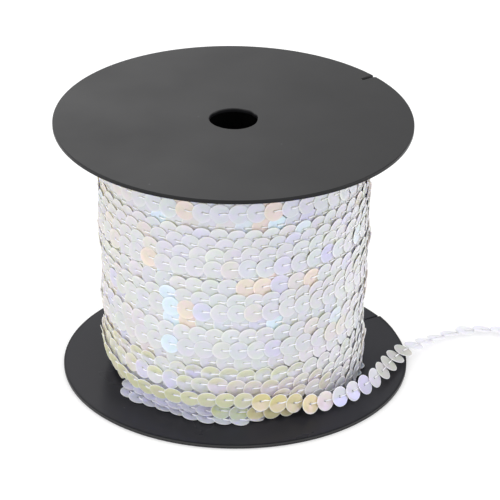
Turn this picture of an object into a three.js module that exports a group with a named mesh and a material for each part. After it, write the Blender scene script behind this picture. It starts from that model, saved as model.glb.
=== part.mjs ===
// Sequin trim wound on a flanged spool.
//
// Millimetres, +Z up the spool's axis, +X to the right and -Y to the front.
// The origin is on the axis, on the underside of the bottom flange, which is
// the face that the spool stands on.
//
// Two thin moulded discs are pressed onto the ends of a plain tube. The trim,
// one string of 6 mm flat round sequins, is wound on the tube, and its last
// turn comes off at the front right, twists face up over the bottom flange's
// edge and lies on the surface.

import * as THREE from 'three';
import { mergeVertices } from 'three/addons/utils/BufferGeometryUtils.js';

// ---------------------------------------------------------------- sizes
const FLANGE_R = 51.5;          // bottom disc
const TOP_R = 52.1;             // top disc, a little larger
const FLANGE_T = 1.2;
const FLANGE_EDGE = 0.25;       // small rounding at every edge of a disc
const FLANGE_STEPS = 160;       // a multiple of 4, so a disc is as wide both ways
const OVERALL_H = 79.7;         // to the top face, on the axis
const BORE_R = 6.9;             // spindle hole in both discs
const LEAN_RIGHT = 0.4;         // degrees: the top disc's right edge is lower
const LEAN_FRONT = 1.1;         // degrees: its front edge is lower
const TOP_SHIFT = -0.75;        // the tube leans: its upper end lies this far to the right

// One radial slit in each disc. Azimuth in degrees from +X towards +Y; the lip
// on the front side is rounded, and step is how far it stands out of the rim.
const TOP_SLIT = { azimuth: 36.5, length: 4.6, width: 1.0, lip: 0.9, step: 0 };
const LOW_SLIT = { azimuth: 30.7, length: 5.0, width: 0.45, lip: 0.5, step: 0.5 };
const STEP_SPAN = 0.26;         // radians over which the step runs back into the rim

const HUB_R = 19.0;
const HUB_WALL = 1.5;
const HUB_STEPS = 56;

const GAP = 0.3;                // between touching pieces
const WIND_AROUND = 64;
const SEQUIN_D = 6.0;
const STRAND_T = 1.2;           // overlapped sequins and their thread

// ---------------------------------------------------------------- helpers
const rad = THREE.MathUtils.degToRad;

// Sideways place of the leaning tube's middle at a height.
const axisX = (z) => (TOP_SHIFT * z) / OVERALL_H;

// Height of the leaning top disc's plane above its height on the axis.
const SLOPE_X = -Math.tan(rad(LEAN_RIGHT));
const SLOPE_Y = Math.tan(rad(LEAN_FRONT));
const lean = (x, y) => SLOPE_X * (x - TOP_SHIFT) + SLOPE_Y * y;

function mesh(name, geometry, colour, roughness) {
  const material = new THREE.MeshStandardMaterial({ color: colour, roughness, metalness: 0 });
  const m = new THREE.Mesh(geometry, material);
  m.name = name;
  return m;
}

// Only positions are kept and shared corners are joined.
function closed(geometry) {
  geometry.deleteAttribute('normal');
  geometry.deleteAttribute('uv');
  const g = mergeVertices(geometry, 1e-4);
  g.computeVertexNormals();
  return g;
}

// ---------------------------------------------------------------- flanges
// Outline of a disc with one radial slit for the trim's end. Seen from above
// it runs anticlockwise from the slit's rear lip, a plain corner, to its
// front lip, which is rounded, and then in and out along the slit.
function flangeOutline(radius, slit) {
  const a = rad(slit.azimuth);
  const out = new THREE.Vector2(Math.cos(a), Math.sin(a));
  const side = new THREE.Vector2(-Math.sin(a), Math.cos(a));
  const at = (u, v) => new THREE.Vector2(out.x * u + side.x * v, out.y * u + side.y * v);
  const half = slit.width / 2;
  const points = [];
  const lipRadius = radius + slit.step;

  points.push(at(Math.sqrt(radius ** 2 - half ** 2), half));
  const lipSide = -(half + slit.lip);
  const lipOut = Math.sqrt((lipRadius - slit.lip) ** 2 - lipSide ** 2);
  const rearEnd = Math.asin(half / radius);
  const frontEnd = Math.atan2(lipSide, lipOut);
  for (let i = 0; i < FLANGE_STEPS; i++) {
    const t = (i / FLANGE_STEPS) * 2 * Math.PI;
    let d = t - a;
    while (d <= 0) d += 2 * Math.PI;
    const r = radius + slit.step * Math.max(0, 1 - (2 * Math.PI - d) / STEP_SPAN);
    if (d > rearEnd + 0.008 && d < 2 * Math.PI + frontEnd - 0.008) points.push({ d, x: r * Math.cos(t), y: r * Math.sin(t) });
  }
  const rim = points.splice(1).sort((p, q) => p.d - q.d).map((p) => new THREE.Vector2(p.x, p.y));
  points.push(...rim);

  const lipSteps = 5;
  for (let i = 0; i <= lipSteps; i++) {
    const b = frontEnd + (i / lipSteps) * (Math.PI / 2 - frontEnd);
    points.push(at(lipOut + slit.lip * Math.cos(b), lipSide + slit.lip * Math.sin(b)));
  }
  const endSteps = 6;
  for (let i = 0; i <= endSteps; i++) {
    const b = -Math.PI / 2 - (i / endSteps) * Math.PI;
    points.push(at(radius - slit.length + half + half * Math.cos(b), half * Math.sin(b)));
  }
  return points;
}

// The spindle hole was trimmed by hand: a little out of round, with two nicks.
const BORE_EDGE = [
  // azimuth in degrees, how far the edge stands outside BORE_R in mm
  { azimuth: 0, out: 0.05 },
  { azimuth: 22, out: 0.35 },
  { azimuth: 30, out: 0.0 },
  { azimuth: 46, out: 0.3 },
  { azimuth: 60, out: 0.0 },
  { azimuth: 120, out: -0.1 },
  { azimuth: 180, out: 0.1 },
  { azimuth: 235, out: -0.05 },
  { azimuth: 300, out: 0.1 },
  { azimuth: 360, out: 0.05 },
];

function boreOutline() {
  const points = [];
  const steps = 60;
  for (let i = 0; i < steps; i++) {
    const deg = (i / steps) * 360;
    const k = BORE_EDGE.findIndex((row) => row.azimuth > deg);
    const a = BORE_EDGE[k - 1], b = BORE_EDGE[k];
    const t = (deg - a.azimuth) / (b.azimuth - a.azimuth);
    const r = BORE_R + a.out + (b.out - a.out) * t;
    points.push(new THREE.Vector2(r * Math.cos(rad(deg)), r * Math.sin(rad(deg))));
  }
  return points;
}

// A disc whose underside is at z = 0.
function flangeGeometry(radius, slit) {
  const shape = new THREE.Shape(flangeOutline(radius, slit));
  shape.holes.push(new THREE.Path(boreOutline()));
  const g = new THREE.ExtrudeGeometry(shape, {
    depth: FLANGE_T - 2 * FLANGE_EDGE,
    bevelEnabled: true,
    bevelThickness: FLANGE_EDGE,
    bevelSize: FLANGE_EDGE,
    bevelOffset: -FLANGE_EDGE,
    bevelSegments: 2,
  });
  g.translate(0, 0, FLANGE_EDGE);
  return closed(g);
}

const flangeBottom = mesh('flange_bottom', flangeGeometry(FLANGE_R, LOW_SLIT), 0x2a2a2d, 0.32);
const flangeTop = mesh('flange_top', flangeGeometry(TOP_R, TOP_SLIT), 0x2c2c2f, 0.42);
const topNormal = new THREE.Vector3(-SLOPE_X, -SLOPE_Y, 1).normalize();
flangeTop.quaternion.setFromUnitVectors(new THREE.Vector3(0, 0, 1), topNormal);
flangeTop.position.set(TOP_SHIFT, 0, OVERALL_H).addScaledVector(topNormal, -FLANGE_T);

// ---------------------------------------------------------------- hub tube
const SEAT_LOW = FLANGE_T + GAP;
const SEAT_HIGH = OVERALL_H - FLANGE_T - GAP;   // on the axis, below the leaning disc

// Every point moves sideways with the leaning tube, and every ring above mid
// height is also raised to follow the leaning disc.
function leanWithTube(geometry, from) {
  const p = geometry.getAttribute('position');
  for (let i = 0; i < p.count; i++) {
    const z = p.getZ(i);
    p.setX(i, p.getX(i) + axisX(z));
    if (z <= from) continue;
    const share = (z - from) / (SEAT_HIGH - from);
    p.setZ(i, z + share * lean(p.getX(i), p.getY(i)));
  }
}

function hubGeometry() {
  const inner = HUB_R - HUB_WALL;
  const profile = [
    new THREE.Vector2(inner, SEAT_LOW),
    new THREE.Vector2(HUB_R, SEAT_LOW),
    new THREE.Vector2(HUB_R, SEAT_HIGH),
    new THREE.Vector2(inner, SEAT_HIGH),
    new THREE.Vector2(inner, SEAT_LOW),
  ];
  const g = new THREE.LatheGeometry(profile, HUB_STEPS);
  g.rotateX(Math.PI / 2);
  const c = closed(g);
  leanWithTube(c, (SEAT_LOW + SEAT_HIGH) / 2);
  return c;
}
const hub = mesh('hub', hubGeometry(), 0x232325, 0.5);

// ---------------------------------------------------------------- winding
// Outer radius of the wound trim in five directions. The turns bulge in two
// soft belts on the left. At the front left the lowest turn is loose: its
// upper edge stands off over a turn that lies flat on the bottom disc.
const WOUND = [
  //  height   left   frontLeft  frontRight  right   back
  { z: 1.5, left: 38.2, frontLeft: 40.7, frontRight: 37.5, right: 37.9, back: 37.8 },
  { z: 3.5, left: 38.2, frontLeft: 39.6, frontRight: 37.7, right: 38.1, back: 38.1 },
  { z: 6.5, left: 38.5, frontLeft: 40.1, frontRight: 38.0, right: 38.3, back: 38.4 },
  { z: 10.0, left: 38.8, frontLeft: 41.3, frontRight: 38.3, right: 38.3, back: 38.7 },
  { z: 15.0, left: 38.7, frontLeft: 39.9, frontRight: 38.6, right: 38.3, back: 38.6 },
  { z: 20.0, left: 39.1, frontLeft: 39.4, frontRight: 38.7, right: 38.4, back: 38.9 },
  { z: 24.5, left: 39.6, frontLeft: 39.6, frontRight: 38.8, right: 38.7, back: 39.2 },
  { z: 29.0, left: 39.8, frontLeft: 39.8, frontRight: 39.0, right: 39.2, back: 39.3 },
  { z: 33.0, left: 39.1, frontLeft: 39.5, frontRight: 39.0, right: 39.3, back: 39.0 },
  { z: 38.0, left: 38.8, frontLeft: 39.3, frontRight: 39.0, right: 39.3, back: 38.9 },
  { z: 41.0, left: 38.8, frontLeft: 39.3, frontRight: 38.9, right: 38.9, back: 39.0 },
  { z: 46.0, left: 39.8, frontLeft: 39.6, frontRight: 39.1, right: 39.5, back: 39.3 },
  { z: 51.5, left: 39.9, frontLeft: 39.7, frontRight: 39.2, right: 39.6, back: 39.4 },
  { z: 58.5, left: 39.5, frontLeft: 39.5, frontRight: 39.1, right: 39.6, back: 39.2 },
  { z: 64.0, left: 39.1, frontLeft: 39.2, frontRight: 38.9, right: 39.2, back: 38.8 },
  { z: 70.0, left: 38.8, frontLeft: 38.9, frontRight: 38.7, right: 38.9, back: 38.5 },
  { z: 75.0, left: 38.4, frontLeft: 38.5, frontRight: 38.4, right: 38.5, back: 38.2 },
  { z: SEAT_HIGH, left: 37.9, frontLeft: 38.0, frontRight: 37.9, right: 37.9, back: 37.7 },
];
const DIRECTIONS = [
  // column, its azimuth in degrees
  { column: 'frontLeft', azimuth: -108 },
  { column: 'frontRight', azimuth: -52 },
  { column: 'right', azimuth: 0 },
  { column: 'back', azimuth: 90 },
  { column: 'left', azimuth: 180 },
  { column: 'frontLeft', azimuth: 252 },
];

function woundRadius(row, azimuth) {
  let deg = azimuth;
  while (deg < -108) deg += 360;
  while (deg >= 252) deg -= 360;
  const k = DIRECTIONS.findIndex((d) => d.azimuth > deg);
  const a = DIRECTIONS[k - 1], b = DIRECTIONS[k];
  const t = (deg - a.azimuth) / (b.azimuth - a.azimuth);
  const s = (1 - Math.cos(Math.PI * t)) / 2;
  return row[a.column] + (row[b.column] - row[a.column]) * s;
}

function windingGeometry() {
  const inner = HUB_R + GAP;
  const profile = [new THREE.Vector2(inner, SEAT_LOW)];
  for (const row of WOUND) profile.push(new THREE.Vector2(row.left, row.z));
  profile.push(new THREE.Vector2(inner, SEAT_HIGH));
  profile.push(new THREE.Vector2(inner, SEAT_LOW));
  const g = new THREE.LatheGeometry(profile, WIND_AROUND);
  g.rotateX(Math.PI / 2);
  const c = closed(g);
  const p = c.getAttribute('position');
  for (let i = 0; i < p.count; i++) {
    const x = p.getX(i), y = p.getY(i), z = p.getZ(i);
    const r = Math.hypot(x, y);
    if (r < inner + 1) continue;
    const row = WOUND.reduce((best, w) => (Math.abs(w.z - z) < Math.abs(best.z - z) ? w : best));
    const k = woundRadius(row, THREE.MathUtils.radToDeg(Math.atan2(y, x))) / r;
    p.setXY(i, x * k, y * k);
  }
  leanWithTube(c, (SEAT_LOW + SEAT_HIGH) / 2);
  c.computeVertexNormals();
  return c;
}
const winding = mesh('winding', windingGeometry(), 0xe3e1e8, 0.35);

// ---------------------------------------------------------------- loose end
// The middle line of the trim's free end, from where it leaves the winding to
// its cut end. roll turns the face: 0 faces outward, 90 faces up. It stands on
// edge against the winding, then twists and crosses the bottom disc's rim.
const LOOSE_END = [
  { x: 21.8, y: -34.5, z: 4.95, roll: 17 },
  { x: 26.3, y: -32.0, z: 4.6, roll: 21 },
  { x: 30.6, y: -29.3, z: 4.5, roll: 24 },
  { x: 34.3, y: -26.2, z: 4.45, roll: 27 },
  { x: 37.7, y: -22.6, z: 4.4, roll: 31 },
  { x: 40.8, y: -18.4, z: 4.3, roll: 36 },
  { x: 43.5, y: -13.6, z: 4.1, roll: 44 },
  { x: 45.8, y: -8.2, z: 3.75, roll: 55 },
  { x: 48.3, y: -3.0, z: 3.3, roll: 66 },
  { x: 50.7, y: 0.9, z: 2.9, roll: 75 },
  { x: 53.3, y: 4.0, z: 2.5, roll: 82 },
  { x: 56.3, y: 7.3, z: 2.05, roll: 88 },
  { x: 59.8, y: 11.0, z: 1.45, roll: 90 },
  { x: 64.0, y: 14.5, z: 0.95, roll: 90 },
  { x: 68.5, y: 17.1, z: 0.75, roll: 90 },
  { x: 72.7, y: 18.4, z: 0.7, roll: 90 },
  { x: 76.8, y: 18.8, z: 0.7, roll: 90 },
  { x: 80.7, y: 18.4, z: 0.7, roll: 90 },
  { x: 84.6, y: 17.3, z: 0.7, roll: 90 },
  { x: 88.4, y: 15.8, z: 0.7, roll: 90 },
  { x: 92.1, y: 14.2, z: 0.7, roll: 90 },
];

// A straight flat strip with rounded edges, extruded in steps and then laid
// along the route with its face turned by roll.
function looseEndGeometry() {
  const route = new THREE.CatmullRomCurve3(LOOSE_END.map((p) => new THREE.Vector3(p.x, p.y, p.z)), false, 'centripetal');
  const rolls = new THREE.CatmullRomCurve3(LOOSE_END.map((p, i) => new THREE.Vector3(i, p.roll, 0)), false, 'catmullrom', 0.5);
  const w = SEQUIN_D / 2, t = STRAND_T / 2;
  const section = new THREE.Shape([
    new THREE.Vector2(-w, -0.2 * t), new THREE.Vector2(-0.86 * w, -0.8 * t),
    new THREE.Vector2(-0.5 * w, -t), new THREE.Vector2(0.5 * w, -t),
    new THREE.Vector2(0.86 * w, -0.8 * t), new THREE.Vector2(w, -0.2 * t),
    new THREE.Vector2(w, 0.2 * t), new THREE.Vector2(0.86 * w, 0.8 * t),
    new THREE.Vector2(0.5 * w, t), new THREE.Vector2(-0.5 * w, t),
    new THREE.Vector2(-0.86 * w, 0.8 * t), new THREE.Vector2(-w, 0.2 * t),
  ]);
  const steps = 2 * (LOOSE_END.length - 1);
  const g = closed(new THREE.ExtrudeGeometry(section, { depth: 1, steps, bevelEnabled: false }));
  const up = new THREE.Vector3(0, 0, 1);
  const p = g.getAttribute('position');
  for (let i = 0; i < p.count; i++) {
    const across = p.getX(i), thick = p.getY(i), u = THREE.MathUtils.clamp(p.getZ(i), 0, 1);
    const c = route.getPoint(u);
    const along = route.getTangent(u);
    const out = new THREE.Vector3().crossVectors(along, up).normalize();
    const rise = new THREE.Vector3().crossVectors(out, along).normalize();
    const roll = rad(rolls.getPoint(u).y);
    const face = out.clone().multiplyScalar(Math.cos(roll)).addScaledVector(rise, Math.sin(roll));
    const width = new THREE.Vector3().crossVectors(face, along).normalize();
    c.addScaledVector(width, across).addScaledVector(face, thick);
    p.setXYZ(i, c.x, c.y, c.z);
  }
  g.computeVertexNormals();
  return g;
}
const looseEnd = mesh('loose_end', looseEndGeometry(), 0xe8e6ec, 0.3);

// ---------------------------------------------------------------- the whole
const spool = new THREE.Group();
spool.add(flangeBottom, hub, flangeTop);
const trim = new THREE.Group();
trim.add(winding, looseEnd);
const object = new THREE.Group();
object.add(spool, trim);

export default object;
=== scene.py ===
import math

import bpy
import numpy as np
from mathutils import Matrix, Vector


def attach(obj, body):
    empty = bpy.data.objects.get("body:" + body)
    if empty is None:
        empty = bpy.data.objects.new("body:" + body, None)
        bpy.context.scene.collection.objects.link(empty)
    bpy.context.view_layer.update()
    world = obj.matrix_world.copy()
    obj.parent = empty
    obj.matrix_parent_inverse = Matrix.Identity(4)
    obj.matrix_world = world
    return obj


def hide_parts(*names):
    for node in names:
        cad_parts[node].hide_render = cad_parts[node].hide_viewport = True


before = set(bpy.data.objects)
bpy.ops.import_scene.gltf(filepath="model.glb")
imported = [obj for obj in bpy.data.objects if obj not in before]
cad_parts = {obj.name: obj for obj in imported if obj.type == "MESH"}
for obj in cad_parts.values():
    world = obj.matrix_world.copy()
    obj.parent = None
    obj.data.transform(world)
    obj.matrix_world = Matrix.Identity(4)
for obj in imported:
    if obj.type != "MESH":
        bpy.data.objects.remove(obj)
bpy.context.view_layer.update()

# Looks of a sequin trim wound on a black flanged spool. Everything here is
# in metres in the row's frame; the tables of the winding are in millimetres
# and are scaled when a mesh is made.

MM = 0.001
rng = np.random.default_rng(6885)


# ------------------------------------------------------------------ camera
def make_camera():
    yaw, pitch, roll = math.radians(0.3455), math.radians(26.998), math.radians(0.3532)
    look = Vector((math.sin(yaw) * math.cos(pitch), math.cos(yaw) * math.cos(pitch), -math.sin(pitch)))
    right = Vector((math.cos(yaw), -math.sin(yaw), 0.0))
    up = right.cross(look)
    right_r = math.cos(roll) * right + math.sin(roll) * up
    up_r = -math.sin(roll) * right + math.cos(roll) * up
    data = bpy.data.cameras.new("camera")
    data.sensor_fit = "HORIZONTAL"
    data.sensor_width = 36.0
    data.lens = 2671.475 / 500.0 * 36.0
    data.clip_start, data.clip_end = 0.05, 20.0
    cam = bpy.data.objects.new("camera", data)
    bpy.context.scene.collection.objects.link(cam)
    m = Matrix((right_r, up_r, -look)).transposed().to_4x4()
    m.translation = Vector((0.0, -0.702447, 0.395149))
    cam.matrix_world = m
    bpy.context.scene.camera = cam
    return cam


camera = make_camera()


# ------------------------------------------------------------------ the free end's route
# Middle line of the free end from the winding to its cut end, mm. roll turns
# the face: 0 faces outward, 90 faces up.
LOOSE_END = [
    #  x      y     z   roll
    (21.8, -34.5, 4.95, 17), (26.3, -32.0, 4.6, 21), (30.6, -29.3, 4.5, 24), (34.3, -26.2, 4.45, 27),
    (37.7, -22.6, 4.4, 31), (40.8, -18.4, 4.3, 36), (43.5, -13.6, 4.1, 44), (45.8, -8.2, 3.75, 55),
    (48.3, -3.0, 3.3, 66), (50.7, 0.9, 2.9, 75), (53.3, 4.0, 2.5, 82), (56.3, 7.3, 2.05, 88),
    (59.8, 11.0, 1.45, 90), (64.0, 14.5, 0.95, 90), (68.5, 17.1, 0.75, 90), (72.7, 18.4, 0.7, 90),
    (76.8, 18.8, 0.7, 90), (80.7, 18.4, 0.7, 90), (84.6, 17.3, 0.7, 90), (88.4, 15.8, 0.7, 90),
    (92.1, 14.2, 0.7, 90),
]


def smooth_route(rows, per=24):
    """Centripetal Catmull-Rom through the rows' first three columns; the roll goes along with it."""
    p = np.array(rows, float)
    first, last = 2 * p[0] - p[1], 2 * p[-1] - p[-2]
    q = np.vstack([first, p, last])
    out = []
    for i in range(1, len(q) - 2):
        p0, p1, p2, p3 = q[i - 1], q[i], q[i + 1], q[i + 2]
        t0 = 0.0
        t1 = t0 + np.linalg.norm((p1 - p0)[:3]) ** 0.5
        t2 = t1 + np.linalg.norm((p2 - p1)[:3]) ** 0.5
        t3 = t2 + np.linalg.norm((p3 - p2)[:3]) ** 0.5
        for t in np.linspace(t1, t2, per, endpoint=False):
            a1 = (t1 - t) / (t1 - t0) * p0 + (t - t0) / (t1 - t0) * p1
            a2 = (t2 - t) / (t2 - t1) * p1 + (t - t1) / (t2 - t1) * p2
            a3 = (t3 - t) / (t3 - t2) * p2 + (t - t2) / (t3 - t2) * p3
            b1 = (t2 - t) / (t2 - t0) * a1 + (t - t0) / (t2 - t0) * a2
            b2 = (t3 - t) / (t3 - t1) * a2 + (t - t1) / (t3 - t1) * a3
            out.append((t2 - t) / (t2 - t1) * b1 + (t - t1) / (t2 - t1) * b2)
    out.append(p[-1])
    return np.array(out)


route = smooth_route(LOOSE_END)
route_steps = np.linalg.norm(np.diff(route[:, :3], axis=0), axis=1)
route_at = np.concatenate([[0.0], np.cumsum(route_steps)])
LOOSE_LENGTH = float(route_at[-1])


# ------------------------------------------------------------------ sequins as joined meshes
SEQUIN_R = 3.0
SHEET_T = 0.13

# Section of one sequin from its hole over the face to its rim and back under:
# radius, height over the face's plane, 1 where the face is pale (hole and rim).
FINE = [
    (0.34, -0.03, 0.4), (0.56, 0.0, 0.0), (1.55, 0.0, 0.0), (2.30, 0.0, 0.0), (2.74, 0.0, 0.05),
    (2.83, 0.022, 0.8), (2.95, 0.018, 1.0), (3.00, -0.035, 1.0), (2.96, -0.10, 1.0), (1.60, -0.10, 0.0), (0.34, -0.10, 0.4),
]
PLAIN = [
    (0.45, 0.0, 0.4), (2.70, 0.0, 0.1), (2.82, 0.02, 0.9), (3.00, -0.03, 1.0), (2.95, -0.10, 1.0), (0.45, -0.10, 0.4),
]


class Batch:
    """Collects small things and makes one joined mesh object of them."""

    def __init__(self):
        self.v, self.f, self.smooth = [], [], []
        self.base, self.gleam = [], []
        self.count = 0

    def add(self, verts, faces, smooth, base, gleam):
        self.v.append(verts)
        self.f.append(faces + self.count)
        self.smooth.append(smooth)
        self.base.append(base)
        self.gleam.append(gleam)
        self.count += len(verts)

    def triangles(self):
        return sum(2 * len(f) for f in self.f)

    def build(self, name, material, slot):
        verts = np.concatenate(self.v) * MM
        faces = np.concatenate(self.f)
        me = bpy.data.meshes.new(name)
        me.vertices.add(len(verts))
        me.vertices.foreach_set("co", verts.astype(np.float32).ravel())
        me.loops.add(faces.size)
        me.loops.foreach_set("vertex_index", faces.astype(np.int32).ravel())
        me.polygons.add(len(faces))
        me.polygons.foreach_set("loop_start", np.arange(0, faces.size, 4, dtype=np.int32))
        me.polygons.foreach_set("use_smooth", np.concatenate(self.smooth))
        me.update(calc_edges=True)
        for label, rows in (("Film", self.base), ("Gleam", self.gleam)):
            a = me.color_attributes.new(label, "FLOAT_COLOR", "POINT")
            c = np.ones((len(verts), 4), np.float32)
            c[:, :3] = np.concatenate(rows)
            a.data.foreach_set("color", c.ravel())
        me.validate()
        ob = bpy.data.objects.new(name, me)
        bpy.context.scene.collection.objects.link(ob)
        me.materials.append(material)
        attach(ob, "root")
        return ob


def section_faces(rings, around):
    """Quads of a closed ring of sections, facing out of the solid."""
    out = []
    for i in range(rings):
        j = (i + 1) % rings
        for k in range(around):
            m = (k + 1) % around
            out.append((i * around + k, j * around + k, j * around + m, i * around + m))
    return np.array(out)


MID = [(0.25 if r == 0.34 else r, h, max(p, 0.55) if r == 0.34 else p) for r, h, p in FINE]      # its hole filled by the thread

SHAPES = {}
for label, section, around in (("fine", FINE, 20), ("mid", MID, 20), ("plain", PLAIN, 14)):
    rr = np.repeat([s[0] for s in section], around)
    hh = np.repeat([s[1] for s in section], around)
    pale = np.repeat([s[2] for s in section], around)
    ang = np.tile(np.arange(around) / around * 2 * math.pi, len(section))
    faces = section_faces(len(section), around)
    flat_rows = (0, len(section) - 1)
    smooth = np.ones(len(faces), bool)
    SHAPES[label] = (rr, hh, pale, ang, faces, smooth)


def sequin(batch, kind, centre, t, w, n, fold, dish, base, gleam, spin=0.0, oval=0.0, wrap=0.0, rim=0.45):
    """One sequin with its face towards n and the thread along t."""
    rr, hh, pale, ang, faces, smooth = SHAPES[kind]
    a = ang + spin
    u = rr * np.cos(a) * (1 + oval)
    v = rr * np.sin(a) * (1 - oval)
    h = hh + bend(u, v, fold, dish, wrap)
    verts = centre + np.outer(u, t) + np.outer(v, w) + np.outer(h, n)
    p = pale[:, None]
    rim_base = np.array([0.90, 0.90, 0.86])
    b = base * (1 - rim * p) + rim_base * rim * p
    g = gleam * (1 - rim * p) + np.array([0.10, 0.10, 0.16]) * rim * p
    batch.add(verts, faces, smooth, b, g)


def bend(u, v, fold, dish, wrap=0.0):
    """Height of a sequin's face over its plane: folded along the thread, dished, and wrapped round the winding."""
    return fold * (np.sqrt(v * v + 0.06) - 0.245) + dish * (u * u + v * v) - wrap * u * u


def thread(batch, points, radius=0.19, around=6, colour=(0.93, 0.93, 0.93)):
    """A short round stitch through the given points."""
    p = np.array(points, float)
    d = np.gradient(p, axis=0)
    d /= np.linalg.norm(d, axis=1)[:, None]
    side = np.cross(d, np.array([0.13, 0.29, 0.95]))
    side /= np.linalg.norm(side, axis=1)[:, None]
    other = np.cross(d, side)
    ang = np.arange(around) / around * 2 * math.pi
    rows = []
    for i in range(len(p)):
        r = radius * (0.45 if i in (0, len(p) - 1) else 1.0)
        rows.append(p[i] + r * (np.outer(np.cos(ang), side[i]) + np.outer(np.sin(ang), other[i])))
    verts = np.concatenate(rows)
    faces = []
    for i in range(len(p) - 1):
        for k in range(around):
            m = (k + 1) % around
            faces.append((i * around + k, i * around + m, (i + 1) * around + m, (i + 1) * around + k))
    last = (len(p) - 1) * around
    faces += [(3, 2, 1, 0), (5, 4, 3, 0), (last, last + 1, last + 2, last + 3), (last, last + 3, last + 4, last + 5)]
    f = np.array(faces)
    c = np.tile(np.array(colour), (len(verts), 1))
    batch.add(verts, f, np.ones(len(f), bool), c, c * 0.2)


# ------------------------------------------------------------------ colours of the film
FILM = np.array([0.865, 0.855, 0.60])         # what the film shows by itself
GLEAM = np.array([0.07, 0.07, 0.34])          # what it mirrors, seen straight on
LOW_FILM_PAINTED_LIGHT = np.array([0.935, 0.92, 0.60])      # the lowest turns, painted lighter and yellower against the bottom disc's shade and the dark disc they mirror
LOW_GLEAM = np.array([0.07, 0.065, 0.37])

# Painted reflections: places where the film is painted with the lamps' glints in a stronger colour, azimuth and height.
PAINTED_GLINTS = [
    (-119.5, 65.3, "cyan"), (-118.7, 58.0, "cyan"), (-123.7, 44.7, "cyan"), (-121.3, 41.3, "cyan"),
    (-117.5, 37.5, "cyan"), (-120.0, 32.6, "cyan"), (-118.2, 26.7, "cyan"), (-71.8, 63.3, "cyan"),
    (-73.3, 50.3, "cyan"), (-73.5, 33.7, "cyan"), (-130.4, 51.2, "peach"), (-124.1, 50.0, "peach"),
    (-110.5, 70.0, "peach"), (-71.1, 69.7, "peach"), (-79.8, 63.0, "peach"), (-77.9, 47.2, "peach"),
    (-110.3, 35.4, "peach"), (-86.1, 44.1, "peach"), (-56.9, 46.9, "peach"), (-48.0, 51.7, "lilac"),
]
KINDS = {
    #          film                     mirrored
    "cyan": (np.array([0.82, 0.98, 0.98]), np.array([0.05, 0.15, 0.24])),
    "peach": (np.array([0.93, 0.66, 0.47]), np.array([0.10, 0.05, 0.12])),
    "lilac": (np.array([0.86, 0.80, 0.80]), np.array([0.10, 0.08, 0.48])),
    "gold": (np.array([0.84, 0.68, 0.34]), np.array([0.12, 0.08, 0.20])),
    "green": (np.array([0.66, 0.74, 0.32]), np.array([0.07, 0.12, 0.34])),
    "grey": (np.array([0.53, 0.52, 0.45]), np.array([0.07, 0.07, 0.14])),
    "white": (np.array([0.83, 0.82, 0.86]), np.array([0.05, 0.05, 0.14])),
    "blue": (np.array([0.62, 0.68, 0.76]), np.array([0.07, 0.10, 0.24])),
    "amber": (np.array([0.93, 0.81, 0.60]), np.array([0.08, 0.06, 0.37])),
    "haze": (np.array([0.92, 0.90, 0.95]), np.array([0.06, 0.07, 0.30])),
}


def ease(x):
    x = min(max(x, 0.0), 1.0)
    return x * x * (3 - 2 * x)


def film_colour(az, z, kind=None, share=1.0, painted_shade=1.0):
    """Film and mirror colour of one sequin, with small differences from one to the next, and with light and shade
    painted into the film: lighter low turns at the front, a warm sheen on the left, shade on the front right, neutral
    film on the right and glints at the listed places; painted_shade darkens it.
    """
    # low: painted light, the lowest turns at the front made lighter and yellower against the bottom disc's shade and
    # the dark disc they mirror
    low = min(max((20.0 - z) / 4.0, 0.0), 1.0) * ease((az + 152.0) / 14.0) if az < -48 and z > 2.5 else 0.0
    # side: a painted warm iridescent sheen on the left side of the winding
    side = math.cos(math.radians(az + 160.0)) ** 4 if -250 < az < -70 else 0.0
    # pale: painted light, the film made neutral and less mirroring low on the right front, standing in for light
    # through the film where the gaps would show olive shade
    pale = min(max((26.0 - z) / 9.0, 0.0), 1.0) * ease((az + 66.0) / 12.0) if az > -66 else 0.0
    # ahead: painted shade, the film a little darker on the front right
    ahead = ease((az + 88.0) / 20.0) * (1 - ease((az + 45.0) / 12.0)) * (1 - low)
    film = FILM * (1 - low) + LOW_FILM_PAINTED_LIGHT * low + np.array([0.03, -0.03, -0.06]) * side
    film = film * (1 - np.array([0.065, 0.075, 0.05]) * ahead)
    # pale also over the whole right side: the same painted light
    pale = max(pale, 0.8 * ease((az + 50.0) / 18.0)) if az > -66 else pale
    film = film * (1 - pale) + np.array([0.785, 0.75, 0.72]) * pale
    base = film * (1 + 0.012 * rng.standard_normal(3)) * (1 + 0.01 * rng.standard_normal())
    gleam = (GLEAM * (1 - low) + LOW_GLEAM * low) * (1 + np.array([0.12, 0.12, 0.04]) * rng.standard_normal(3)).clip(0.3, 1.8)
    gleam = gleam * (1 - np.array([0.2, 0.2, 0.6]) * pale)
    pick = rng.random()
    if kind is None:
        # painted reflection: the lamps' glints at the listed places
        for a, h, k in PAINTED_GLINTS:
            if abs((az - a + 180) % 360 - 180) * 0.69 < 2.3 and abs(z - h) < 2.1:
                kind, share = k, 0.75 if k == "cyan" else 0.62
                break
    if kind is None:
        if pick < 0.012:
            kind, share = "cyan", 0.35
        elif pick < (0.13 if az < -118 else 0.06):
            kind, share = "peach", 0.25
        elif pick < (0.17 if az < -118 else 0.12):
            kind, share = "lilac", 0.35
        elif pick < (0.21 if az < -118 else 0.15):
            kind, share = "green", 0.2
    if kind is not None:
        kb, kg = KINDS[kind]
        base = base * (1 - share) + kb * share
        gleam = gleam * (1 - share) + kg * share
    # painted_shade darkens the film where shade falls on it
    return (base * painted_shade).clip(0, 0.92), gleam.clip(0, 0.95)


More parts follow.
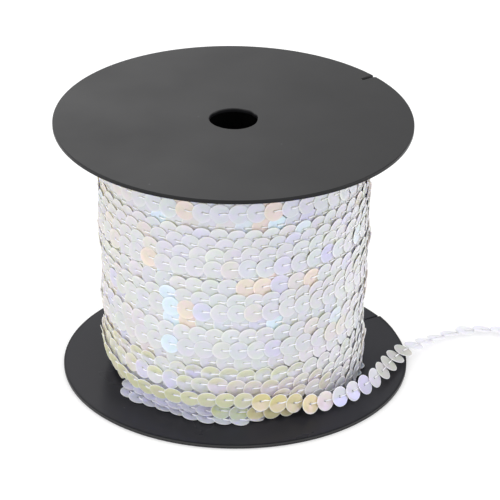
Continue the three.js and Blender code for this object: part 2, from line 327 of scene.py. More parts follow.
# ------------------------------------------------------------------ the wound form
WOUND = np.array([
    # height  left  frontLeft frontRight right  back
    (1.5, 38.2, 38.4, 37.5, 37.9, 37.8),
    (3.5, 38.2, 38.6, 37.7, 38.1, 38.1),
    (6.5, 38.5, 38.9, 38.0, 38.3, 38.4),
    (10.0, 38.8, 39.2, 38.3, 38.3, 38.7),
    (15.0, 38.7, 39.4, 38.6, 38.3, 38.6),
    (20.0, 39.1, 39.4, 38.7, 38.4, 38.9),
    (24.5, 39.6, 39.6, 38.8, 38.7, 39.2),
    (29.0, 39.8, 39.8, 39.0, 39.2, 39.3),
    (33.0, 39.1, 39.5, 39.0, 39.3, 39.0),
    (38.0, 38.8, 39.3, 39.0, 39.3, 38.9),
    (41.0, 38.8, 39.3, 38.9, 38.9, 39.0),
    (46.0, 39.8, 39.6, 39.1, 39.5, 39.3),
    (51.5, 39.9, 39.7, 39.2, 39.6, 39.4),
    (58.5, 39.5, 39.5, 39.1, 39.6, 39.2),
    (64.0, 39.1, 39.2, 38.9, 39.2, 38.8),
    (70.0, 38.8, 38.9, 38.7, 38.9, 38.5),
    (75.0, 38.4, 38.5, 38.4, 38.5, 38.2),
    (78.2, 37.9, 38.0, 37.9, 37.9, 37.7),
])
SIDES = [(-108, 2), (-52, 3), (0, 4), (90, 5), (180, 1), (252, 2)]
LEAN_X, LEAN_Y = -math.tan(math.radians(0.4)), math.tan(math.radians(1.1))
TOP_SHIFT, OVERALL_H = -0.75, 79.7        # the tube leans to the left, seen from the front
UNDER_TOP = 78.5                          # the top disc's underside on the axis


def wound_radius(az, z):
    """Outer radius of the winding, az in degrees and z in mm, as arrays."""
    az = (np.asarray(az, float) + 108) % 360 - 108
    z = np.asarray(z, float)
    out = np.zeros(np.broadcast(az, z).shape)
    az, z = np.broadcast_arrays(az, z)
    for (a0, c0), (a1, c1) in zip(SIDES[:-1], SIDES[1:]):
        m = (az >= a0) & (az <= a1)
        s = (1 - np.cos(math.pi * (az[m] - a0) / (a1 - a0))) / 2
        r0 = np.interp(z[m], WOUND[:, 0], WOUND[:, c0])
        r1 = np.interp(z[m], WOUND[:, 0], WOUND[:, c1])
        out[m] = r0 + (r1 - r0) * s
    return out


def axis_x(z):
    return TOP_SHIFT * z / OVERALL_H


def lean(x, y):
    return LEAN_X * x + LEAN_Y * y


# Height field of the winding's surface: radius over azimuth and height.
N_AZ, DZ = 720, 0.4
FIELD_Z = np.arange(0.0, 80.0, DZ)
FIELD_AZ = np.arange(N_AZ) * 360.0 / N_AZ
FORM = wound_radius(FIELD_AZ[:, None], FIELD_Z[None, :])
CORE = 1.55                               # the filling's depth under the outer form
SKIN = 0.72                               # the same for what the outer layer lies on
field = FORM - CORE

SLOPE_U = np.array([-0.11, -0.085, -0.065, -0.05, -0.038, -0.028, -0.018, -0.008])
SLOPE_V = np.array([-0.26, -0.19, -0.13, -0.08, -0.04, 0.0, 0.04, 0.08, 0.13, 0.19, 0.26])
HALF_U, HALF_V = 10, 8


def settle(az, z, fold, dish, lean_v, lean_hold, stand_off, wrap):
    """Lays a sequin on what is already wound at (az, z) and returns its height and slopes."""
    k0, j0 = int(round(az / (360.0 / N_AZ))), int(round(z / DZ))
    ks = np.arange(k0 - HALF_U, k0 + HALF_U + 1)
    js = np.arange(max(0, j0 - HALF_V), min(len(FIELD_Z), j0 + HALF_V + 1))
    r_mid = field[k0 % N_AZ, min(j0, len(FIELD_Z) - 1)]
    u = np.radians(ks * (360.0 / N_AZ) - az)[:, None] * (r_mid + 0.3) + 0 * js[None, :]
    v = (js * DZ - z)[None, :] + 0 * u
    inside = u * u + v * v < (SEQUIN_R - 0.05) ** 2
    s = field[np.ix_(ks % N_AZ, js)]
    uu, vv = u[inside], v[inside]
    lift = bend(uu, vv, fold, dish, wrap) + uu * uu / (2 * r_mid)
    rest = s[inside] - lift + 0.085
    slopes_v = lean_v + SLOPE_V * (0.25 if lean_hold else 1.0)
    best = None
    hs = (rest[None, None, :] - SLOPE_U[:, None, None] * uu[None, None, :] - slopes_v[None, :, None] * vv[None, None, :]).max(-1)
    cost = hs + 2.0 * (SLOPE_U[:, None] + 0.035) ** 2 + (0.9 if not lean_hold else 4.0) * (slopes_v[None, :] - lean_v) ** 2
    i, j = np.unravel_index(np.argmin(cost), cost.shape)
    a = SLOPE_U[i] + 0.007 * rng.standard_normal()
    b = slopes_v[j] + (0.012 if lean_hold else 0.014) * rng.standard_normal()
    h = float((rest - a * uu - b * vv).max()) + 0.02 + stand_off
    top = h + a * uu + b * vv + lift + 0.01
    patch = s.copy()
    patch[inside] = np.maximum(s[inside], top)
    # the thread lies on the face from the hole towards the next sequin
    on_thread = inside & (np.abs(v) < 0.3) & (u > 0.4)
    patch[on_thread] = np.maximum(patch[on_thread], (h + a * u + b * v + bend(u, v, fold, dish, wrap) + u * u / (2 * r_mid) + 0.10)[on_thread])
    field[np.ix_(ks % N_AZ, js)] = patch
    return h, a, b


def frame_at(az):
    a = math.radians(az)
    return np.array([math.cos(a), math.sin(a), 0.0]), np.array([-math.sin(a), math.cos(a), 0.0]), np.array([0.0, 0.0, 1.0])


def tilted(t, w, n, a, b):
    """The sequin's own axes once its plane has slopes a along t and b along w."""
    nn = n - a * t - b * w
    nn /= np.linalg.norm(nn)
    tt = t - nn * t.dot(nn)
    tt /= np.linalg.norm(tt)
    return tt, np.cross(nn, tt), nn


def row_height(z0, z1, az, cross_at, cross_width, waves):
    """A turn's height at az, from z0 to the next turn's z1 where it crosses over at the back."""
    z = z0 + (z1 - z0) * ease((az - cross_at + cross_width / 2) / cross_width)
    for size, times, phase in waves:
        z += size * math.sin(math.radians(az) * times + phase)
    r = 39.0
    x, y = r * math.cos(math.radians(az)), r * math.sin(math.radians(az))
    return z + (lean(x, y) - lean(0.0, -r)) * max(0.0, z) / 76.0


def highest(az):
    """The most that a sequin's middle may be high under the leaning top disc."""
    x, y = 42.0 * math.cos(math.radians(az)), 42.0 * math.sin(math.radians(az))
    return UNDER_TOP + lean(x, y) - 3.2


PITCH = 4.98
laid = []          # (kind, centre, t, w, n, fold, dish, az, z, row label)


def lay_turn(label, kind, height, start, stop, lean_of=None, hold=False, off_of=None, step=PITCH, jitter=0.10, cup=1.0, wrap=0.010, last=None):
    """Lays the sequins of one turn in strand order, from azimuth start to stop; last fixes the last one's place."""
    az = start + rng.random() * 3.0
    even = math.degrees(step / 40.3)
    if last is not None:
        az = last - even * int((last - start) / even)
    while az < stop:
        z = float(min(height(az) + jitter * rng.standard_normal(), highest(az)))
        z = max(z, 4.25)
        if label[0] == "u" and z < 8.2 and -155.0 < az < -96.0:     # the flat turns lie here
            az += math.degrees(step / 38.0)
            continue
        if label == "D" and -65.5 < az < -57.5:                      # hidden behind the free end's start
            az += math.degrees(step / 38.0)
            continue
        hollowed = 1 + (cup - 1) * (1 - ease((az + 62.0) / 30.0))       # flatter again towards the right
        fold = hollowed * (0.030 + 0.012 * rng.standard_normal())
        dish = hollowed * (0.0035 + 0.002 * rng.standard_normal())
        lv = lean_of(az) if lean_of else 0.0
        off = off_of(az) if off_of else 0.0
        h, a, b = settle(az % 360.0, z, fold, dish, lv, hold, off, wrap)
        r_hat, t_hat, up = frame_at(az)
        t, w, n = tilted(t_hat, up, r_hat, a, b)
        laid.append((kind, r_hat * h + np.array([axis_x(z), 0, z]), t, w, n, fold, dish, wrap, az, z, label))
        mean = step / (h if h > 20 else 39.0)
        az += math.degrees(mean) * (1 + 0.035 * rng.standard_normal()) if last is None else even


# Under layer: plain turns that show between the outer ones.
under_z = np.linspace(5.3, 74.0, 19)
for i, z0 in enumerate(under_z[::-1]):
    waves = [(0.35, 1, rng.random() * 6.28), (0.2, 3, rng.random() * 6.28)]
    nxt = under_z[::-1][min(i + 1, len(under_z) - 1)]
    lay_turn("u%02d" % i, "plain", lambda az, z0=z0, nxt=nxt, waves=waves: row_height(z0 + 0.35 * math.sin(i * 2.4), nxt, az, 90, 70, waves), -250.0, 110.0, jitter=0.15)

# Outer layer in winding order: what comes later lies on top.
field = FORM - SKIN
hollow = (FIELD_AZ > 190.0) & (FIELD_AZ < 262.0)      # no upright turn stands here beside the flat one
field[np.ix_(hollow, FIELD_Z < 6.4)] -= 1.6
OUTER = [74.2, 71.2, 63.8, 68.0, 60.8, 58.0, 54.8, 47.6, 50.9, 44.9, 40.7, 33.0, 37.1, 29.2, 20.9, 24.8, 10.7, 17.2, 13.3]
D_ROW, L_ROW = 4.6, 8.1
for i, z0 in enumerate(OUTER):
    nxt = OUTER[i + 1] if i + 1 < len(OUTER) else D_ROW
    waves = [(0.16, 2, rng.random() * 6.28), (0.12, 5, rng.random() * 6.28)]
    cross_at = 78 + 28 * math.sin(i * 2.1)
    width = 70 if abs(nxt - z0) < 6 else 95
    sunk = 1.3 if 12 < z0 < 18 else 0.0
    lay_turn("o%02d" % i, "fine", lambda az, z0=z0, nxt=nxt, waves=waves, cross_at=cross_at, width=width, sunk=sunk:
             row_height(z0, nxt, az, cross_at, width, waves) - sunk * ease((az + 100) / 22) * (1 - ease((az + 20) / 40)), -250.0, 110.0,
             lean_of=(lambda az: 0.12 * (1 - ease((az + 62) / 30))) if 12 < z0 < 20 else None, cup=4.6 if 12 < z0 < 20 else 1.0, wrap=0.0 if z0 < 20 else 0.010)

# The two last turns, listed where they are loose: azimuth, height, lean of
# the face (the top edge stands out where it is positive), stand-off.
D_TABLE = np.array([
    (-250, 4.6, 0.00, 0.0), (-180, 5.0, 0.05, 0.0), (-120, 5.4, 0.05, 0.0), (-98, 5.2, 0.12, 0.1),
    (-93, 4.4, 0.32, 0.5), (-86, 4.5, 0.30, 0.5), (-78, 4.6, 0.26, 0.4), (-70, 4.5, 0.12, 0.2),
    (-60, 4.4, 0.0, 0.0), (0, 4.4, 0.0, 0.0), (60, 4.5, 0.0, 0.0), (120, 5.6, 0.0, 0.0),
])
L_TABLE = np.array([
    (-240, 6.5, 0.0, 0.0), (-215, 8.6, 0.02, 0.0), (-190, 10.4, 0.08, 0.0), (-170, 10.8, 0.15, 0.1),
    (-157, 10.1, 0.24, 0.3), (-150, 9.3, 0.32, 0.4), (-142, 8.5, 0.38, 0.5), (-133, 8.2, 0.40, 0.5),
    (-124, 8.3, 0.40, 0.5), (-113, 8.9, 0.36, 0.4), (-103, 9.3, 0.32, 0.3), (-95, 9.5, 0.26, 0.25),
    (-86, 9.4, 0.18, 0.15), (-80, 8.6, 0.10, 0.1), (-73, 7.4, 0.0, 0.05), (-65, 6.2, -0.18, 0.0),
    (-58, 5.1, -0.28, 0.0),
])


def column(table, k):
    return lambda az: float(np.interp(az, table[:, 0], table[:, k]))


lay_turn("E", "fine", lambda az: 8.9, -72.0, 112.0, lambda az: 0.10 * (1 - ease((az + 62) / 30)), jitter=0.12, cup=4.2, wrap=0.0)
lay_turn("D", "fine", column(D_TABLE, 1), -97.0, 112.0, column(D_TABLE, 2), True, column(D_TABLE, 3), jitter=0.05, cup=3.0, wrap=0.0)
lay_turn("L", "fine", column(L_TABLE, 1), -240.0, -59.0, column(L_TABLE, 2), True, column(L_TABLE, 3), jitter=0.04, step=5.18, cup=3.4, wrap=0.0, last=-64.4)

# A turn that slid down and lies face up on the bottom disc at the front left.
FLAT = [(-160, 36.8), (-148.3, 37.6), (-139.5, 38.4), (-130, 36.6), (-121, 37.0), (-113, 36.6), (-107.6, 38.0), (-100.3, 38.3), (-88, 38.2), (-80, 36.5)]
flat_az, flat_r = np.array([f[0] for f in FLAT]), np.array([f[1] for f in FLAT])
az = -147.0
while az < -92.0:
    r = 35.4 + 0.35 * rng.standard_normal()
    r_hat, t_hat, up = frame_at(az)
    t, w, n = tilted(t_hat, np.cross(up, t_hat), up, -0.12 + 0.015 * rng.standard_normal(), 0.04 * rng.standard_normal() - 0.05)
    laid.append(("fine", r_hat * r + up * (2.75 + 0.08 * rng.random()), t, w, n, 0.03, 0.004, 0.0, az, 2.6, "F"))
    az += math.degrees(4.6 / r) * (1 + 0.05 * rng.standard_normal())
az = -144.0
turn = 0
while az < -80.0:
    r = float(np.interp(az, flat_az, flat_r))
    r_hat, t_hat, up = frame_at(az)
    t, w, n = tilted(t_hat, np.cross(up, t_hat), up, -0.115 + 0.015 * rng.standard_normal(), 0.05 * rng.standard_normal() - 0.02)
    laid.append(("fine", r_hat * r + up * (1.78 + 0.05 * rng.random()), t, w, n, 0.03, 0.004, 0.0, az, 1.8, "F"))
    az += math.degrees(4.6 / r) * (1 + 0.05 * rng.standard_normal())
    turn += 1
for az, r in ((-31.0, 35.3), (-23.5, 35.8), (-16.5, 36.1), (-9.5, 36.2)):
    r_hat, t_hat, up = frame_at(az)
    t, w, n = tilted(t_hat, np.cross(up, t_hat), up, -0.10 + 0.015 * rng.standard_normal(), 0.05 * rng.standard_normal() + 0.05)
    laid.append(("fine", r_hat * r + up * (1.80 + 0.05 * rng.random()), t, w, n, 0.03, 0.004, 0.0, az, 1.8, "G"))

# ------------------------------------------------------------------ materials


def new_material(name):
    m = bpy.data.materials.new(name)
    m.use_nodes = True
    nt = m.node_tree
    bsdf = nt.nodes["Principled BSDF"]
    return m, nt, bsdf


def sequin_material():
    m, nt, bsdf = new_material("sequin_film")
    film = nt.nodes.new("ShaderNodeVertexColor")
    film.layer_name = "Film"
    gleam = nt.nodes.new("ShaderNodeVertexColor")
    gleam.layer_name = "Gleam"
    coord = nt.nodes.new("ShaderNodeTexCoord")
    cloud = nt.nodes.new("ShaderNodeTexNoise")
    cloud.inputs["Scale"].default_value = 420.0
    cloud.inputs["Detail"].default_value = 2.0
    nt.links.new(coord.outputs["Object"], cloud.inputs["Vector"])
    # faint drift of the film's colour over each sequin
    ramp = nt.nodes.new("ShaderNodeValToRGB")
    ramp.color_ramp.elements[0].position = 0.36
    ramp.color_ramp.elements[0].color = (0.97, 1.02, 0.93, 1)
    ramp.color_ramp.elements[1].position = 0.66
    ramp.color_ramp.elements[1].color = (1.03, 0.985, 1.06, 1)
    nt.links.new(cloud.outputs["Fac"], ramp.inputs["Fac"])
    mul = nt.nodes.new("ShaderNodeMix")
    mul.data_type, mul.blend_type = "RGBA", "MULTIPLY"
    mul.inputs[0].default_value = 1.0
    nt.links.new(film.outputs["Color"], mul.inputs[6])
    nt.links.new(ramp.outputs["Color"], mul.inputs[7])
    nt.links.new(mul.outputs[2], bsdf.inputs["Base Color"])
    nt.links.new(gleam.outputs["Color"], bsdf.inputs["Specular Tint"])
    rough = nt.nodes.new("ShaderNodeMapRange")
    rough.inputs["To Min"].default_value = 0.07
    rough.inputs["To Max"].default_value = 0.13
    fine = nt.nodes.new("ShaderNodeTexNoise")
    fine.inputs["Scale"].default_value = 1500.0
    fine.inputs["Detail"].default_value = 3.0
    nt.links.new(coord.outputs["Object"], fine.inputs["Vector"])
    nt.links.new(fine.outputs["Fac"], rough.inputs["Value"])
    nt.links.new(rough.outputs["Result"], bsdf.inputs["Roughness"])
    bump = nt.nodes.new("ShaderNodeBump")
    bump.inputs["Strength"].default_value = 0.08
    bump.inputs["Distance"].default_value = 0.00012
    nt.links.new(fine.outputs["Fac"], bump.inputs["Height"])
    nt.links.new(bump.outputs["Normal"], bsdf.inputs["Normal"])
    bsdf.inputs["IOR"].default_value = 9.0
    bsdf.inputs["Subsurface Weight"].default_value = 0.75
    bsdf.inputs["Subsurface Radius"].default_value = (1.0, 0.9, 0.8)
    bsdf.inputs["Subsurface Scale"].default_value = 0.0005
    bsdf.inputs["Metallic"].default_value = 0.0
    return m


def thread_material():
    m, nt, bsdf = new_material("white_thread")
    coord = nt.nodes.new("ShaderNodeTexCoord")
    noise = nt.nodes.new("ShaderNodeTexNoise")
    noise.inputs["Scale"].default_value = 5200.0
    noise.inputs["Detail"].default_value = 3.0
    nt.links.new(coord.outputs["Object"], noise.inputs["Vector"])
    ramp = nt.nodes.new("ShaderNodeValToRGB")
    ramp.color_ramp.elements[0].position = 0.3
    ramp.color_ramp.elements[0].color = (0.80, 0.80, 0.82, 1)
    ramp.color_ramp.elements[1].position = 0.7
    ramp.color_ramp.elements[1].color = (0.93, 0.93, 0.94, 1)
    nt.links.new(noise.outputs["Fac"], ramp.inputs["Fac"])
    nt.links.new(ramp.outputs["Color"], bsdf.inputs["Base Color"])
    bump = nt.nodes.new("ShaderNodeBump")
    bump.inputs["Strength"].default_value = 0.5
    bump.inputs["Distance"].default_value = 0.00008
    nt.links.new(noise.outputs["Fac"], bump.inputs["Height"])
    nt.links.new(bump.outputs["Normal"], bsdf.inputs["Normal"])
    bsdf.inputs["Roughness"].default_value = 0.7
    bsdf.inputs["Sheen Weight"].default_value = 0.2
    return m


def plastic_material(name, colour, rough_low, rough_high, specks, shine, rim=None):
    """Black moulded plastic: satin, with soft unevenness, fine dust and faint marks; rim gives the radius, heights and
    colour of a painted highlight line round the edge, and of a painted shade band just inside it.
    """
    m, nt, bsdf = new_material(name)
    coord = nt.nodes.new("ShaderNodeTexCoord")
    big = nt.nodes.new("ShaderNodeTexNoise")
    big.inputs["Scale"].default_value = 38.0
    big.inputs["Detail"].default_value = 4.0
    nt.links.new(coord.outputs["Object"], big.inputs["Vector"])
    rough = nt.nodes.new("ShaderNodeMapRange")
    rough.inputs["From Min"].default_value = 0.3
    rough.inputs["From Max"].default_value = 0.7
    rough.inputs["To Min"].default_value = rough_low
    rough.inputs["To Max"].default_value = rough_high
    nt.links.new(big.outputs["Fac"], rough.inputs["Value"])
    nt.links.new(rough.outputs["Result"], bsdf.inputs["Roughness"])
    dust = nt.nodes.new("ShaderNodeTexVoronoi")
    dust.inputs["Scale"].default_value = 170.0
    nt.links.new(coord.outputs["Object"], dust.inputs["Vector"])
    spot = nt.nodes.new("ShaderNodeValToRGB")
    spot.color_ramp.elements[0].position = 0.02
    spot.color_ramp.elements[0].color = (1, 1, 1, 1)
    spot.color_ramp.elements[1].position = 0.075
    spot.color_ramp.elements[1].color = (0, 0, 0, 1)
    nt.links.new(dust.outputs["Distance"], spot.inputs["Fac"])
    rare = nt.nodes.new("ShaderNodeTexNoise")
    rare.inputs["Scale"].default_value = 90.0
    nt.links.new(coord.outputs["Object"], rare.inputs["Vector"])
    only = nt.nodes.new("ShaderNodeMapRange")
    only.inputs["From Min"].default_value = 0.60
    only.inputs["From Max"].default_value = 0.68
    only.inputs["To Max"].default_value = specks
    nt.links.new(rare.outputs["Fac"], only.inputs["Value"])
    both = nt.nodes.new("ShaderNodeMath")
    both.operation = "MULTIPLY"
    nt.links.new(spot.outputs["Color"], both.inputs[0])
    nt.links.new(only.outputs["Result"], both.inputs[1])
    drift = nt.nodes.new("ShaderNodeMix")
    drift.data_type = "RGBA"
    drift.inputs[6].default_value = (*[c * 0.85 for c in colour], 1)
    drift.inputs[7].default_value = (*[c * 1.2 for c in colour], 1)
    nt.links.new(big.outputs["Fac"], drift.inputs[0])
    mix = nt.nodes.new("ShaderNodeMix")
    mix.data_type = "RGBA"
    mix.inputs[7].default_value = (0.16, 0.16, 0.17, 1)
    nt.links.new(both.outputs["Value"], mix.inputs[0])
    nt.links.new(drift.outputs[2], mix.inputs[6])
    shown = mix.outputs[2]
    if rim:
        apart = nt.nodes.new("ShaderNodeSeparateXYZ")
        nt.links.new(coord.outputs["Object"], apart.inputs["Vector"])
        flat = nt.nodes.new("ShaderNodeCombineXYZ")
        nt.links.new(apart.outputs["X"], flat.inputs["X"])
        nt.links.new(apart.outputs["Y"], flat.inputs["Y"])
        reach = nt.nodes.new("ShaderNodeVectorMath")
        reach.operation = "LENGTH"
        nt.links.new(flat.outputs["Vector"], reach.inputs[0])
        # painted shade: a dark line just inside the edge of the face, which also darkens the edge itself
        edge_shade = nt.nodes.new("ShaderNodeValToRGB")
        ramp_at = nt.nodes.new("ShaderNodeMapRange")
        ramp_at.inputs["From Min"].default_value = rim["radius"] - 0.0010
        ramp_at.inputs["From Max"].default_value = rim["radius"]
        nt.links.new(reach.outputs["Value"], ramp_at.inputs["Value"])
        edge_shade.color_ramp.elements[0].position = 0.15
        edge_shade.color_ramp.elements[0].color = (1, 1, 1, 1)
        edge_shade.color_ramp.elements[1].position = 0.55
        edge_shade.color_ramp.elements[1].color = (0.55, 0.55, 0.56, 1)
        nt.links.new(ramp_at.outputs["Result"], edge_shade.inputs["Fac"])
        darker = nt.nodes.new("ShaderNodeMix")
        darker.data_type, darker.blend_type = "RGBA", "MULTIPLY"
        darker.inputs[0].default_value = 1.0
        nt.links.new(shown, darker.inputs[6])
        nt.links.new(edge_shade.outputs["Color"], darker.inputs[7])
        # painted highlight: the edge's own face, pale along its middle
        line_at = nt.nodes.new("ShaderNodeMapRange")
        line_at.inputs["From Min"].default_value = rim["low"]
        line_at.inputs["From Max"].default_value = rim["high"]
        nt.links.new(apart.outputs["Z"], line_at.inputs["Value"])
        line = nt.nodes.new("ShaderNodeValToRGB")
        line.color_ramp.elements[0].position = 0.28
        line.color_ramp.elements[0].color = (0, 0, 0, 1)
        line.color_ramp.elements[1].position = 0.92
        line.color_ramp.elements[1].color = (0, 0, 0, 1)
        for at in (0.45, 0.78):
            line.color_ramp.elements.new(at).color = (1, 1, 1, 1)
        nt.links.new(line_at.outputs["Result"], line.inputs["Fac"])
        on_edge = nt.nodes.new("ShaderNodeMath")
        on_edge.operation = "GREATER_THAN"
        on_edge.inputs[1].default_value = rim["radius"] - 0.00035
        nt.links.new(reach.outputs["Value"], on_edge.inputs[0])
        share = nt.nodes.new("ShaderNodeMath")
        share.operation = "MULTIPLY"
        nt.links.new(line.outputs["Color"], share.inputs[0])
        nt.links.new(on_edge.outputs["Value"], share.inputs[1])
        edge_highlight = nt.nodes.new("ShaderNodeMix")
        edge_highlight.data_type = "RGBA"
        edge_highlight.inputs[7].default_value = (*rim["colour"], 1)
        nt.links.new(share.outputs["Value"], edge_highlight.inputs[0])
        nt.links.new(darker.outputs[2], edge_highlight.inputs[6])
        shown = edge_highlight.outputs[2]
    nt.links.new(shown, bsdf.inputs["Base Color"])
    grain = nt.nodes.new("ShaderNodeTexNoise")
    grain.inputs["Scale"].default_value = 2600.0
    grain.inputs["Detail"].default_value = 2.0
    nt.links.new(coord.outputs["Object"], grain.inputs["Vector"])
    bump = nt.nodes.new("ShaderNodeBump")
    bump.inputs["Strength"].default_value = 0.06
    bump.inputs["Distance"].default_value = 0.0001
    nt.links.new(grain.outputs["Fac"], bump.inputs["Height"])
    nt.links.new(bump.outputs["Normal"], bsdf.inputs["Normal"])
    bsdf.inputs["IOR"].default_value = 1.30
    bsdf.inputs["Specular IOR Level"].default_value = shine
    return m


def filling_material():
    """The pale mass of turns under the outer ones."""
    m, nt, bsdf = new_material("under_turns")
    coord = nt.nodes.new("ShaderNodeTexCoord")
    noise = nt.nodes.new("ShaderNodeTexNoise")
    noise.inputs["Scale"].default_value = 350.0
    noise.inputs["Detail"].default_value = 4.0
    nt.links.new(coord.outputs["Object"], noise.inputs["Vector"])
    ramp = nt.nodes.new("ShaderNodeValToRGB")
    ramp.color_ramp.elements[0].position = 0.35
    ramp.color_ramp.elements[0].color = (0.80, 0.79, 0.76, 1)
    ramp.color_ramp.elements[1].position = 0.65
    ramp.color_ramp.elements[1].color = (0.90, 0.89, 0.88, 1)
    nt.links.new(noise.outputs["Fac"], ramp.inputs["Fac"])
    nt.links.new(ramp.outputs["Color"], bsdf.inputs["Base Color"])
    bump = nt.nodes.new("ShaderNodeBump")
    bump.inputs["Strength"].default_value = 0.6
    bump.inputs["Distance"].default_value = 0.0004
    nt.links.new(noise.outputs["Fac"], bump.inputs["Height"])
    nt.links.new(bump.outputs["Normal"], bsdf.inputs["Normal"])
    bsdf.inputs["Roughness"].default_value = 0.45
    return m


film_mat = sequin_material()
thread_mat = thread_material()
fill_mat = filling_material()

top_mat = plastic_material("black_plastic_top", (0.007, 0.007, 0.008), 0.34, 0.42, 0.5, 0.5)
# the bottom disc's edge gets a painted highlight line and a painted shade band
low_mat = plastic_material("black_plastic_low", (0.026, 0.026, 0.031), 0.26, 0.34, 0.9, 0.14,
                           rim={"radius": 0.0515, "low": 0.0, "high": 0.0012, "colour": (0.044, 0.044, 0.044)})
hub_mat = plastic_material("black_plastic_tube", (0.012, 0.012, 0.013), 0.45, 0.55, 0.2, 0.5)
for node, mat in (("flange_top", top_mat), ("flange_bottom", low_mat), ("hub", hub_mat)):
    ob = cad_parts[node]
    ob.data.materials.clear()
    ob.data.materials.append(mat)


# ------------------------------------------------------------------ the free end
loose = Batch()
loose_threads = Batch()
places = [(LOOSE_LENGTH - 0.9) * (k / 18.0) ** 1.025 for k in range(19)]      # a little wider apart towards the cut end


def route_point(s):
    return np.array([np.interp(s, route_at, route[:, k]) for k in range(4)])


for index, s in enumerate(places):
    p = route_point(s)
    q0, q1 = route_point(s - 1.0), route_point(s + 1.0)
    t = (q1 - q0)[:3]
    t /= np.linalg.norm(t)
    out = np.cross(t, [0, 0, 1.0])
    out /= np.linalg.norm(out)
    rise = np.cross(out, t)
    beyond = min(max((s - 48.0) / 22.0, 0.0), 1.0)          # past the disc the trim turns on, its near edge a little up
    roll = math.radians(p[3] + 8.0 * beyond + 2.5 * rng.standard_normal())
    n = out * math.cos(roll) + rise * math.sin(roll)
    w = np.cross(n, t)
    a, b = -0.10 + 0.015 * rng.standard_normal(), 0.02 * rng.standard_normal()
    tt, ww, nn = tilted(t, w, n, a, b)
    # The free end's colours: the first ones painted gold, peach and lilac as the lamps' reflections in the film; from
    # the third to the tenth it lies over the black disc, painted shade, the lilac ones a little darker and the rest
    # grey; past the disc it is white.
    if index == 0:
        kind, share = "gold", 1.0
    elif index == 1:
        kind, share = "peach", 0.3
    elif index < 6:
        kind, share = "lilac", 0.75 if index == 4 else 0.2
    elif index < 10:
        kind, share = "grey", 0.8
    else:
        kind, share = "white", 0.9
    base, gleam = film_colour(0, -50.0, kind, share, 0.92 if 1 < index < 6 else 1.0)
    fold, dish = 0.05, 0.008
    centre = p[:3] + n * 0.1 + np.array([0, -0.7 * beyond, 0.15 * beyond])
    sequin(loose, "fine", centre, tt, ww, nn, fold, dish, base, gleam, spin=rng.random(), rim=0.8)
    nxt = route_point(places[index + 1] if index < 18 else LOOSE_LENGTH)[:3]
    thread(loose_threads, [centre - tt * 0.16 - nn * 0.12, centre + tt * 0.25 + nn * 0.10, centre + tt * 1.1 + nn * 0.15, centre + tt * 1.9 + nn * 0.16, nxt - nn * 0.05])
end = route_point(LOOSE_LENGTH)[:3]

loose_end = loose.build("loose_end_sequins", film_mat, "sequins")
stitch_end = loose_threads.build("loose_end_thread", thread_mat, "sequins")
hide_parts("loose_end")

# ------------------------------------------------------------------ the winding's meshes
batches = {}
stitches = Batch()
for i, (kind, c, t, w, n, fold, dish, wrap, az, z, label) in enumerate(laid):
    # painted reflection: the last turn gold at its front-right end and faintly green elsewhere, standing in for the
    # lamps' reflections in the film
    if label == "L":
        tint = ("gold", 0.9) if az > -83 else ("green", 0.18)
        base, gleam = film_colour(az, z, tint[0], tint[1] * (0.8 + 0.2 * rng.random()))
    # painted light: the low turn made white on the front right, lifting it out of the bottom disc's shade and its dark
    # reflection
    elif label == "D" and -62 < az < 25:
        base, gleam = film_colour(az, z, "white", 0.9)
    # painted reflection: the low front turns amber yellow, where the film mirrors the dark bottom disc
    elif label == "E" and az < -44 or label[0] == "o" and 11.0 < z < 14.6 and -104 < az < -52:
        base, gleam = film_colour(az, z, "amber", 0.95 if rng.random() < 0.75 else 0.2)
    elif label[0] == "o" and 9.0 < z < 11.0 and az < -60:
        base, gleam = film_colour(az, 30.0, "haze", 0.7)
    # painted reflection: the low turn green and gold on the front left, with painted shade making it a little darker
    elif label == "D" and az < -60:
        base, gleam = film_colour(az, z, "green" if az < -84 else "gold", 0.7, 0.95)
    elif label == "F":
        base, gleam = film_colour(az, z, "haze", 0.85, 1.0)
    elif label == "G":
        base, gleam = film_colour(az, z, "blue", 0.9, 1.0)
    else:
        base, gleam = film_colour(az, z)
    if kind == "plain":
        key = "inner_turns"
        # painted shade: the inner turns a little darker and less glossy, as under the outer turns
        base, gleam = base * 0.95, gleam * 0.9
    else:
        key = "outer_turns_%s" % ("a" if z > 48 else "b" if z > 24 else "c")
    b = batches.setdefault(key, Batch())
    sequin(b, "mid" if label[0] in "oE" else kind, c, t, w, n, fold, dish, base, gleam, spin=rng.random() * 6.28, oval=0.012 * rng.standard_normal(), wrap=wrap, rim=0.85 if label in "LDFG" else 0.6 if z < 20 else 0.25)
    if kind == "fine":
        k1 = bend(np.array([0.45, 1.1, 1.9]), np.zeros(3), fold, dish, wrap)
        wob = 0.12 * rng.standard_normal()
        back, deep = (0.22, 0.03) if label[0] in "oE" else (0.16, 0.12)
        stitch = [c - t * back - n * deep, c + t * 0.22 + n * (0.10 + k1[0]), c + t * 1.1 + n * (0.16 + k1[1]) + w * wob, c + t * 1.9 + n * (0.13 + k1[2]) + w * wob * 0.5, c + t * 3.1 + n * 0.02]
        thread(stitches, stitch)

pieces = []
for key, b in sorted(batches.items()):
    print(key, b.triangles(), "triangles")
    pieces.append(b.build(key, film_mat, "sequins"))
print("stitches", stitches.triangles(), "triangles")
pieces.append(stitches.build("winding_thread", thread_mat, "sequins"))


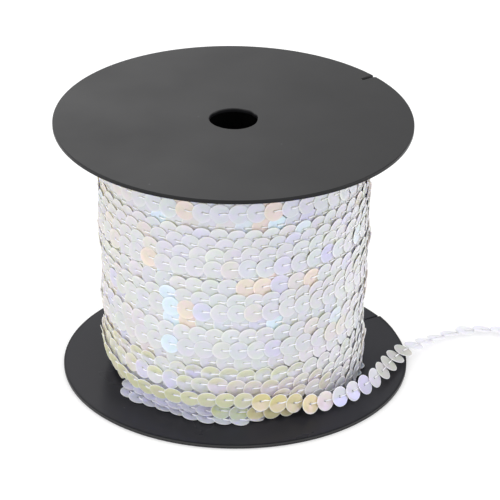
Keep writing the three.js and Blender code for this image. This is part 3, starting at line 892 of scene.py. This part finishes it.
def filling():
    """The mass of turns inside, as a closed ring a little smaller than the outer form."""
    az_n = 144
    zs = np.concatenate([[1.75], np.arange(3.0, 76.0, 2.0), [77.0]])
    v = []
    azs = np.arange(az_n) * 360.0 / az_n
    for z in zs:
        r = wound_radius(azs, z) - CORE - 0.12
        r = r + 0.12 * np.sin(z * 1.7 + np.radians(azs) * 3)
        if z < 3.5:
            r = r - 3.4
        x, y = r * np.cos(np.radians(azs)), r * np.sin(np.radians(azs))
        zz = z + (lean(x, y) if z > 40 else 0) * (z / 78.0)
        v.append(np.stack([x + axis_x(z), y, zz * np.ones(az_n)], 1))
    inner = 19.4
    for z in (77.0, 1.75):
        x, y = inner * np.cos(np.radians(azs)), inner * np.sin(np.radians(azs))
        v.append(np.stack([x + axis_x(z), y, z + (lean(x, y) if z > 40 else 0) * np.ones(az_n)], 1))
    rings = len(v)
    f = []
    for i in range(rings):
        j = (i + 1) % rings
        for k in range(az_n):
            m = (k + 1) % az_n
            f.append((i * az_n + k, i * az_n + m, j * az_n + m, j * az_n + k))
    b = Batch()
    vv = np.concatenate(v)
    b.add(vv, np.array(f), np.ones(len(f), bool), np.ones((len(vv), 3)), np.ones((len(vv), 3)))
    return b.build("winding_filling", fill_mat, "sequins")


pieces.append(filling())
for p in pieces:
    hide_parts("winding")

# ------------------------------------------------------------------ stage
floor_me = bpy.data.meshes.new("floor")
floor_me.from_pydata([(-4, -4, -0.0002), (4, -4, -0.0002), (4, 4, -0.0002), (-4, 4, -0.0002)], [], [(0, 1, 2, 3)])
floor = bpy.data.objects.new("floor", floor_me)
bpy.context.scene.collection.objects.link(floor)
floor_mat, nt, bsdf = new_material("floor")
bsdf.inputs["Base Color"].default_value = (0.70, 0.70, 0.70, 1)
bsdf.inputs["Roughness"].default_value = 0.95
bsdf.inputs["Specular IOR Level"].default_value = 0.1
bsdf.inputs["Emission Color"].default_value = (1, 1, 1, 1)
bsdf.inputs["Emission Strength"].default_value = 0.36
floor_me.materials.append(floor_mat)

world = bpy.data.worlds.new("studio")
bpy.context.scene.world = world
world.use_nodes = True
bg = world.node_tree.nodes["Background"]
bg.inputs["Color"].default_value = (1.0, 1.0, 1.0, 1)
bg.inputs["Strength"].default_value = 0.85


def area(name, place, target, size, bright):
    """A soft box of the given radiance."""
    d = bpy.data.lights.new(name, "AREA")
    d.shape = "RECTANGLE"
    d.size, d.size_y = size
    d.energy = bright * math.pi * size[0] * size[1]
    o = bpy.data.objects.new(name, d)
    bpy.context.scene.collection.objects.link(o)
    o.location = place
    o.rotation_euler = (Vector(target) - Vector(place)).to_track_quat("-Z", "Y").to_euler()
    return o


area("soft_top", (0.0, -0.2, 1.4), (0, 0, 0), (1.3, 1.3), 0.6)
area("soft_left", (-0.9, -1.0, 0.30), (0, 0, 0.03), (1.25, 0.8), 1.55)
area("soft_right", (0.80, -1.05, 0.30), (0, 0, 0.03), (1.15, 0.8), 1.2)
area("side_right", (1.25, -0.15, 0.32), (0, 0, 0.03), (0.7, 0.5), 2.9)
area("side_left", (-1.25, -0.15, 0.32), (0, 0, 0.03), (0.7, 0.5), 2.3)
area("soft_back", (-0.42, 1.0, 0.72), (0, 0, 0.05), (1.0, 0.8), 1.1)

bpy.context.scene.view_settings.view_transform = "Standard"
